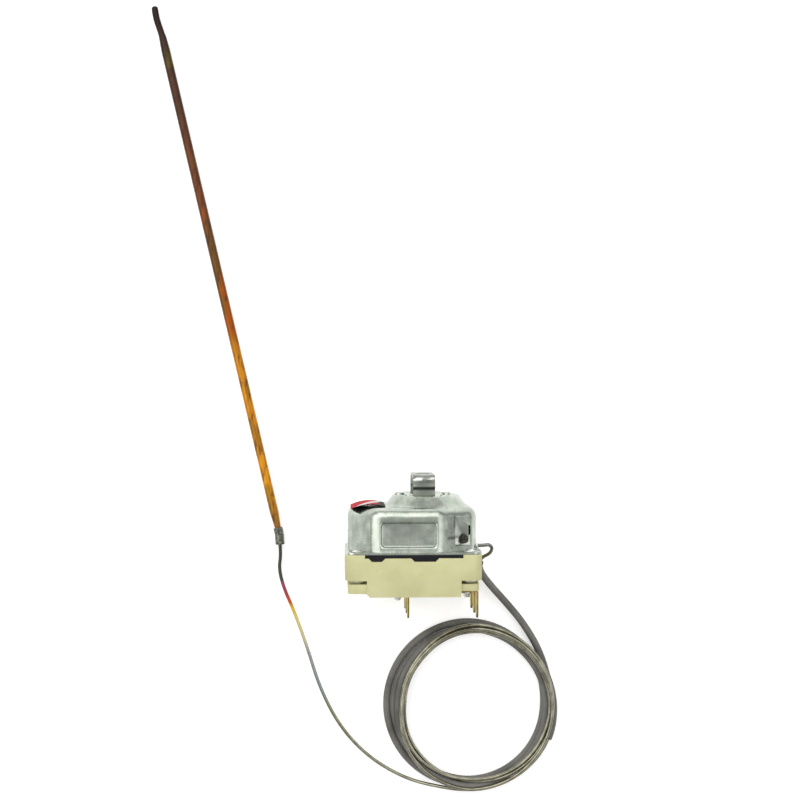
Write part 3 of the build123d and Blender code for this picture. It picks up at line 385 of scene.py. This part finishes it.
# Capillary: one drawn steel tube from the gland to the bulb. It makes a hairpin,
# runs in a sleeve through three turns and on top of them makes three bare turns,
# then lies on the floor in a long curve. Heat has tinted it near the bulb.
capillary_diameter = 0.0016
sleeve_radius = 0.00165
lead_route = [
    (0.0292, -0.00045, 0.0300), (0.0318, -0.00045, 0.0300), (0.0345, 0.0, 0.0297),
    (0.0361, -0.0018, 0.0286), (0.0352, -0.0044, 0.0266), (0.0326, -0.0062, 0.0228),
    (0.0318, -0.0080, 0.0178), (0.0318, -0.0102, 0.0130), (0.0318, -0.0124, 0.0082),
    (0.0334, -0.0162, 0.0056), (0.0378, -0.0219, 0.0049), (0.0452, -0.0300, 0.0042),
    (0.0530, -0.0394, 0.0026), (0.0602, -0.0512, 0.0017), (0.0642, -0.0630, 0.0017),
    (0.0654, -0.0706, 0.0017),
]
tail_route = [
    (0.0124, -0.1146, 0.0056), (-0.0016, -0.1116, 0.0028), (-0.0182, -0.1024, 0.0012),
    (-0.0320, -0.0880, 0.0008), (-0.0416, -0.0694, 0.0008), (-0.0474, -0.0502, 0.0008),
    (-0.0536, -0.0332, 0.0008), (-0.0583, -0.0226, 0.0008), (-0.0604, -0.0138, 0.0012),
    (-0.0596, -0.0080, 0.0019), (-0.05985, -0.0024, 0.0021), (-0.0599, -0.0012, 0.0021),
]
# Between lead and tail lies the coil. Each row says how far one turn lies from the
# coil's centre, at eight places clockwise from the right, and the coil ends early
# in the last. The points between them lie halfway.
turn_reach = [
    (0.0382, 0.0381, 0.0376, 0.0380, 0.0382, 0.0382, 0.0381, 0.0370),
    (0.0349, 0.0349, 0.0350, 0.0349, 0.0349, 0.0349, 0.0349, 0.0350),
    (0.0359, 0.0365, 0.0374, 0.0350, 0.0326, 0.0338, 0.0364, 0.0376),
    (0.0391, 0.0399, 0.0387, 0.0355, 0.0313, 0.0326, 0.0376, 0.0386),
    (0.0386, 0.0376, 0.0350, 0.0324, 0.0299, 0.0310, 0.0342, 0.0366),
    (0.0372, 0.0360, 0.0338, 0.0336, 0.0312, 0.0318, 0.0358, 0.0374),
    (0.0382, 0.0384, 0.0386),
]
turn_centre = (0.0277, -0.0770)
turn_steps = 16
sleeved_steps = 3 * turn_steps + 2
sleeve_end_reach = 0.0402
leaving_heights = [0.0090, 0.0080]
slack = 0.00003
easings = 4
drawn_in = 0.981
reaches = [reach for turn in turn_reach for reach in turn]
radii = [reaches[0]]
for reach, further in zip(reaches, reaches[1:]):
    radii += [(reach + further) / 2, further]
radii[sleeved_steps - 1] = sleeve_end_reach
halves = [
    sleeve_radius if count < sleeved_steps else capillary_diameter / 2
    for count in range(len(radii))
]
lead_x, lead_y, lead_height = lead_route[-2]
lead_radius = math.hypot(lead_x - turn_centre[0], lead_y - turn_centre[1])


def resting(count, heights):
    """How high this point of the coil lies on the floor, the turns before it and the lead."""
    lowest = halves[count]
    under = [(radii[i], heights[i], halves[i]) for i in range(count - turn_steps, -1, -turn_steps)]
    if under and (count + 1) % turn_steps == 0:
        under.append((lead_radius, lead_height, sleeve_radius))
    for radius, height, half in under:
        apart = abs(radii[count] - radius)
        needed = halves[count] + half + slack
        if apart < needed:
            lowest = max(lowest, height + math.sqrt(needed ** 2 - apart ** 2))
    return lowest


heights = []
for count in range(len(radii)):
    heights.append(resting(count, heights))
for easing in range(easings):
    eased = list(heights)
    for count in range(turn_steps - 2, len(radii) - 1):
        eased[count] = (heights[count - 1] + 2 * heights[count] + heights[count + 1]) / 4
    heights = [max(height, resting(count, eased)) for count, height in enumerate(eased)]
heights[-2:] = leaving_heights

# A spline of this order cuts inside its points, so they lie further out than the
# tube does, by drawn_in.
route = list(lead_route)
for count, (radius, height) in enumerate(zip(radii, heights)):
    angle = -2 * math.pi * count / turn_steps
    route.append((
        turn_centre[0] + radius / drawn_in * math.cos(angle),
        turn_centre[1] + radius / drawn_in * math.sin(angle),
        height,
    ))
route += tail_route
line = bpy.data.curves.new("capillary", "CURVE")
line.dimensions = "3D"
spline = line.splines.new("NURBS")
spline.points.add(len(route) - 1)
for point, place in zip(spline.points, route):
    point.co = (*place, 1)
spline.order_u = 3
spline.use_endpoint_u = True
line.resolution_u = 10
capillary = bpy.data.objects.new("capillary", line)
bpy.context.scene.collection.objects.link(capillary)
bpy.context.view_layer.update()
centreline = [Vector(point.co) for point in bpy.data.meshes.new_from_object(capillary).vertices]
line.bevel_depth = capillary_diameter / 2
line.bevel_resolution = 3
line.use_fill_caps = True

tube = Finish("drawn_tube", {"Metallic": 1.0})
hairpin_grey = (0.20, 0.205, 0.185)
tint_starts, tint_run = -0.080, 0.080
along = tube.noise(0.004, 3, seed=18)
drawn = along.ramp((0.35, (0.23, 0.22, 0.165)), (0.6, (0.36, 0.345, 0.26)))
hairpin = tube.y.over(-0.020, -0.012) * tube.x.over(0.0, 0.01)
bare = hairpin.mix(drawn, hairpin_grey)
tint = ((tube.y - tint_starts) / tint_run).ramp(
    (0.0, (0.27, 0.27, 0.17)), (0.12, (0.24, 0.29, 0.27)), (0.34, (0.30, 0.33, 0.30)),
    (0.42, (0.55, 0.50, 0.33)), (0.52, (0.66, 0.58, 0.25)), (0.60, (0.74, 0.50, 0.06)),
    (0.635, (0.62, 0.10, 0.03)), (0.69, (0.40, 0.07, 0.10)), (0.745, (0.30, 0.09, 0.15)),
    (0.76, (0.08, 0.09, 0.08)), (0.86, (0.065, 0.072, 0.06)), (1.0, (0.06, 0.068, 0.052)),
)
near_bulb = 1 - tube.x.over(-0.040, -0.024)
tube.feed("Base Color", near_bulb.mix(bare, tint))
tube.feed("Roughness", 0.13 + along * 0.14)
tube.bump(tube.noise(0.0012, 2), 0.000006)
line.materials.append(tube.material)
tube.onto("capillary_inside")
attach(capillary, "housing")
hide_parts("capillary_lead", "capillary_coil", "capillary_tail")

# Sleeve: dark grey woven glass sleeving slipped over the capillary, from just below
# the hairpin through three turns. Both ends are cut square, and each is open as
# deep as one can see into it.
sleeve_inner_radius = 0.00125
open_depth = 0.004
around = 18
millimetres = 1000
sleeve_starts = Vector((0.0318, -0.0102, 0.0130))
sleeve_ends = Vector((0.0646, -0.0932, 0.0055))


def nearest(place):
    """The number of the centreline's point that lies nearest to a place."""
    return min(range(len(centreline)), key=lambda number: (centreline[number] - place).length)


threads = centreline[nearest(sleeve_starts):nearest(sleeve_ends) + 1]
weave = bmesh.new()
uv_layer = weave.loops.layers.uv.new("UVMap")


def ring_at(here, side, other, radius):
    """One ring of the sleeve's corners about a point of the capillary."""
    corners = []
    for turn in range(around):
        angle = 2 * math.pi * turn / around
        spoke = side * math.cos(angle) + other * math.sin(angle)
        corners.append(weave.verts.new(here + spoke * radius))
    return corners


rings = []
side = Vector((0, 0, 1))
covered = 0.0
for number, here in enumerate(threads):
    before = threads[max(number - 1, 0)]
    after = threads[min(number + 1, len(threads) - 1)]
    heading = (after - before).normalized()
    side = (side - heading * side.dot(heading)).normalized()
    other = heading.cross(side)
    covered += (here - before).length
    corners = ring_at(here, side, other, sleeve_radius)
    rings.append((corners, covered, heading, side.copy(), other.copy(), here))
ends = []
for place, inward in ((0, 1), (-1, -1)):
    corners, covered, heading, side, other, here = rings[place]
    rim = ring_at(here, side, other, sleeve_inner_radius)
    bottom = ring_at(here + heading * open_depth * inward, side, other, sleeve_inner_radius)
    ends.append(((corners, rim, bottom), covered))
for (corners, covered, *_), (further, reached, *_) in zip(rings, rings[1:]):
    for turn in range(around):
        following = (turn + 1) % around
        face = weave.faces.new(
            (corners[turn], corners[following], further[following], further[turn])
        )
        for loop, (u, v) in zip(face.loops, (
            (covered, turn), (covered, turn + 1), (reached, turn + 1), (reached, turn)
        )):
            loop[uv_layer].uv = (u * millimetres, v / around)
for loops, covered in ends:
    for outer, inner in zip(loops, loops[1:]):
        for turn in range(around):
            following = (turn + 1) % around
            face = weave.faces.new((outer[turn], outer[following], inner[following], inner[turn]))
            for loop in face.loops:
                loop[uv_layer].uv = (covered * millimetres, turn / around)
    closed = weave.faces.new(loops[-1])
    for loop in closed.loops:
        loop[uv_layer].uv = (covered * millimetres, 0)
bmesh.ops.recalc_face_normals(weave, faces=weave.faces)
sleeve_mesh = bpy.data.meshes.new("sleeve")
weave.to_mesh(sleeve_mesh)
weave.free()
for polygon in sleeve_mesh.polygons:
    polygon.use_smooth = len(polygon.vertices) == 4
sleeve = bpy.data.objects.new("sleeve", sleeve_mesh)
bpy.context.scene.collection.objects.link(sleeve)

sleeving = Finish("woven_sleeving", {"Roughness": 0.7, "Specular IOR Level": 0.3})
raised_grey = (0.17, 0.165, 0.155)
braid_pace, braid_threads = 4.0, 6
run = sleeving.sheet.part(0) * braid_pace
turned = sleeving.sheet.part(1) * (2 * math.pi * braid_threads)
braid = (run + turned).math("SINE", 0) * (run - turned).math("SINE", 0)
wear = sleeving.noise(0.012, 3, seed=25)
strand = sleeving.noise(0.0007, 3, seed=26)
dark = wear.ramp((0.3, (0.105, 0.102, 0.091)), (0.6, (0.178, 0.173, 0.158)))
sleeving.feed("Base Color", (braid.over(-0.2, 0.9) * 0.35).mix(dark, raised_grey))
sleeving.feed("Roughness", 0.55 + strand * 0.2)
sleeving.bump(braid * 0.5 + strand * 0.4, 0.00012, 0.8)
sleeve_mesh.materials.append(sleeving.material)
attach(sleeve, "housing")
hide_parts("sleeve_lead")

# Bulb and its collar: a steel tube filled with liquid, brazed shut at its bent tip,
# and swaged to the capillary at its foot by a two-part collar. Oven heat has run
# it from gold at the foot through brown to near black at the tip.
collar_steel = Finish("collar_steel", {"Metallic": 1.0})
sooty = collar_steel.noise(0.0012, 3)
collar_steel.feed("Base Color", sooty.ramp((0.3, (0.06, 0.065, 0.055)), (0.7, (0.26, 0.26, 0.22))))
collar_steel.feed("Roughness", 0.3 + collar_steel.noise(0.0006) * 0.25)
collar_steel.onto("bulb_collar")
oven = Finish("heat_tinted_tube", {"Metallic": 1.0})
ember_red, olive_brown = (0.36, 0.075, 0.012), (0.10, 0.075, 0.018)
fleck_brown = (0.045, 0.032, 0.024)
bulb_reach = 0.246
patch = oven.noise(0.010, 4, stretch=(1, 2.2, 1), seed=41)
flecks = oven.noise(0.0016, 4, stretch=(1, 4, 1), seed=44)
olive = oven.noise(0.006, 3, stretch=(1, 2.5, 1), seed=47).over(0.50, 0.62)
height_on = (oven.y / bulb_reach) + (patch - 0.5) * 0.16
embers = patch.over(0.50, 0.62) * height_on.band(0.30, 0.42, 0.6, 0.8)
tinted = height_on.ramp(
    (0.0, (0.20, 0.10, 0.04)), (0.03, (0.34, 0.15, 0.03)), (0.08, (0.66, 0.29, 0.02)),
    (0.20, (0.60, 0.23, 0.02)), (0.31, (0.50, 0.20, 0.018)), (0.385, (0.34, 0.125, 0.014)),
    (0.43, (0.16, 0.075, 0.017)), (0.51, (0.13, 0.064, 0.021)), (0.64, (0.15, 0.052, 0.024)),
    (0.82, (0.073, 0.036, 0.024)), (0.90, (0.052, 0.030, 0.025)), (1.0, (0.021, 0.016, 0.014)),
)
reddened = (embers * 0.75).mix(tinted, ember_red)
greened = (olive * 0.55).mix(reddened, olive_brown)
oven.feed("Base Color", (flecks.over(0.52, 0.66) * 0.6).mix(greened, fleck_brown))
oven.feed("Roughness", 0.28 + flecks * 0.25)
oven.bump(flecks * 0.6 + patch * 0.3, 0.00008)
oven.onto("bulb")

# Floor: a plain white table top. What the lens and the metal see of it glows a
# little, so that it is white without more light on the thermostat.
table_size = 6
table_white, table_glow = (0.78, 0.78, 0.78), (0.50, 0.50, 0.50)
bpy.ops.object.select_all(action="DESELECT")
bpy.ops.mesh.primitive_plane_add(size=table_size, location=(0, 0, 0))
floor = bpy.context.object
floor.name = "table"
white = Finish("white_table", {"Roughness": 0.9, "Specular IOR Level": 0.1})
white.feed("Base Color", table_white)
ray = white.tree.nodes.new("ShaderNodeLightPath")
seen = Wire(white.tree, ray.outputs["Is Camera Ray"])
for outlet in ("Is Glossy Ray", "Is Transmission Ray"):
    seen = seen + Wire(white.tree, ray.outputs[outlet])
white.feed("Emission Color", seen.mix((0, 0, 0), table_glow))
white.feed("Emission Strength", 1.0)
floor.data.materials.append(white.material)

# Light: a pale room that is dimmer low on its walls, which gives the metal its dark
# sides, with a bright strip at the table's edge, a soft ring high at the back and
# three large soft boxes. The lens itself sees plain white beyond the table.
room_white = (1.0, 1.0, 0.985, 1.0)
world = bpy.data.worlds.new("studio")
bpy.context.scene.world = world
world.use_nodes = True
sky_tree = world.node_tree
sky = Wire(sky_tree, sky_tree.nodes.new("ShaderNodeTexCoord").outputs["Generated"])
sideways, forwards, lift = sky.part(0), sky.part(1), sky.part(2)
soft_ring = lift.band(0.50, 0.70, 0.78, 0.95) * forwards.over(-0.55, 0.0) * 0.58
dim_walls = 0.28 + lift.over(0.15, 0.6) * 0.24
bright_strip = (1 - lift.over(0.06, 0.20)) * 0.66
level = dim_walls + forwards * 0.09 - sideways * 0.04 + soft_ring + bright_strip
sky_seen = Wire(sky_tree, sky_tree.nodes.new("ShaderNodeLightPath").outputs["Is Camera Ray"])
strength = level * (1 - sky_seen) + sky_seen
background = sky_tree.nodes["Background"]
background.inputs["Color"].default_value = room_white
sky_tree.links.new(strength.socket, background.inputs["Strength"])
box_side = 1.05
for name, place, power in (
    ("left_box", (-0.60, 0.15, 0.80), 4.0),
    ("right_box", (0.70, 0.05, 0.80), 2.1),
    ("top_box", (0.05, 0.80, 0.85), 3.4),
):
    lamp = bpy.data.lights.new(name, "AREA")
    lamp.size = box_side
    lamp.energy = power
    holder = bpy.data.objects.new(name, lamp)
    bpy.context.scene.collection.objects.link(holder)
    holder.location = place
    holder.rotation_euler = (-Vector(place)).to_track_quat("-Z", "Y").to_euler()

# Camera: high above the floor, between the bulb and the thermostat, and turned a
# little to the right. Its focal length is the photograph's, in pixels of the frame.
frame_pixels = 800
focal_pixels = 1525
sensor = 36.0
camera_place = Vector((-0.034, 0.07085, 0.709))
looked_at = Vector((-0.0042, 0.0643, 0.0))
lens = bpy.data.cameras.new("camera")
lens.sensor_width = sensor
lens.lens = sensor * focal_pixels / frame_pixels
lens.clip_start = 0.01
camera = bpy.data.objects.new("camera", lens)
bpy.context.scene.collection.objects.link(camera)
camera.location = camera_place
behind = (camera_place - looked_at).normalized()
rightward = Vector((0, 1, 0)).cross(behind).normalized()
turned_to = Matrix((rightward, behind.cross(rightward), behind)).transposed()
camera.rotation_euler = turned_to.to_euler()
bpy.context.scene.camera = camera
bpy.context.scene.view_settings.view_transform = "Standard"
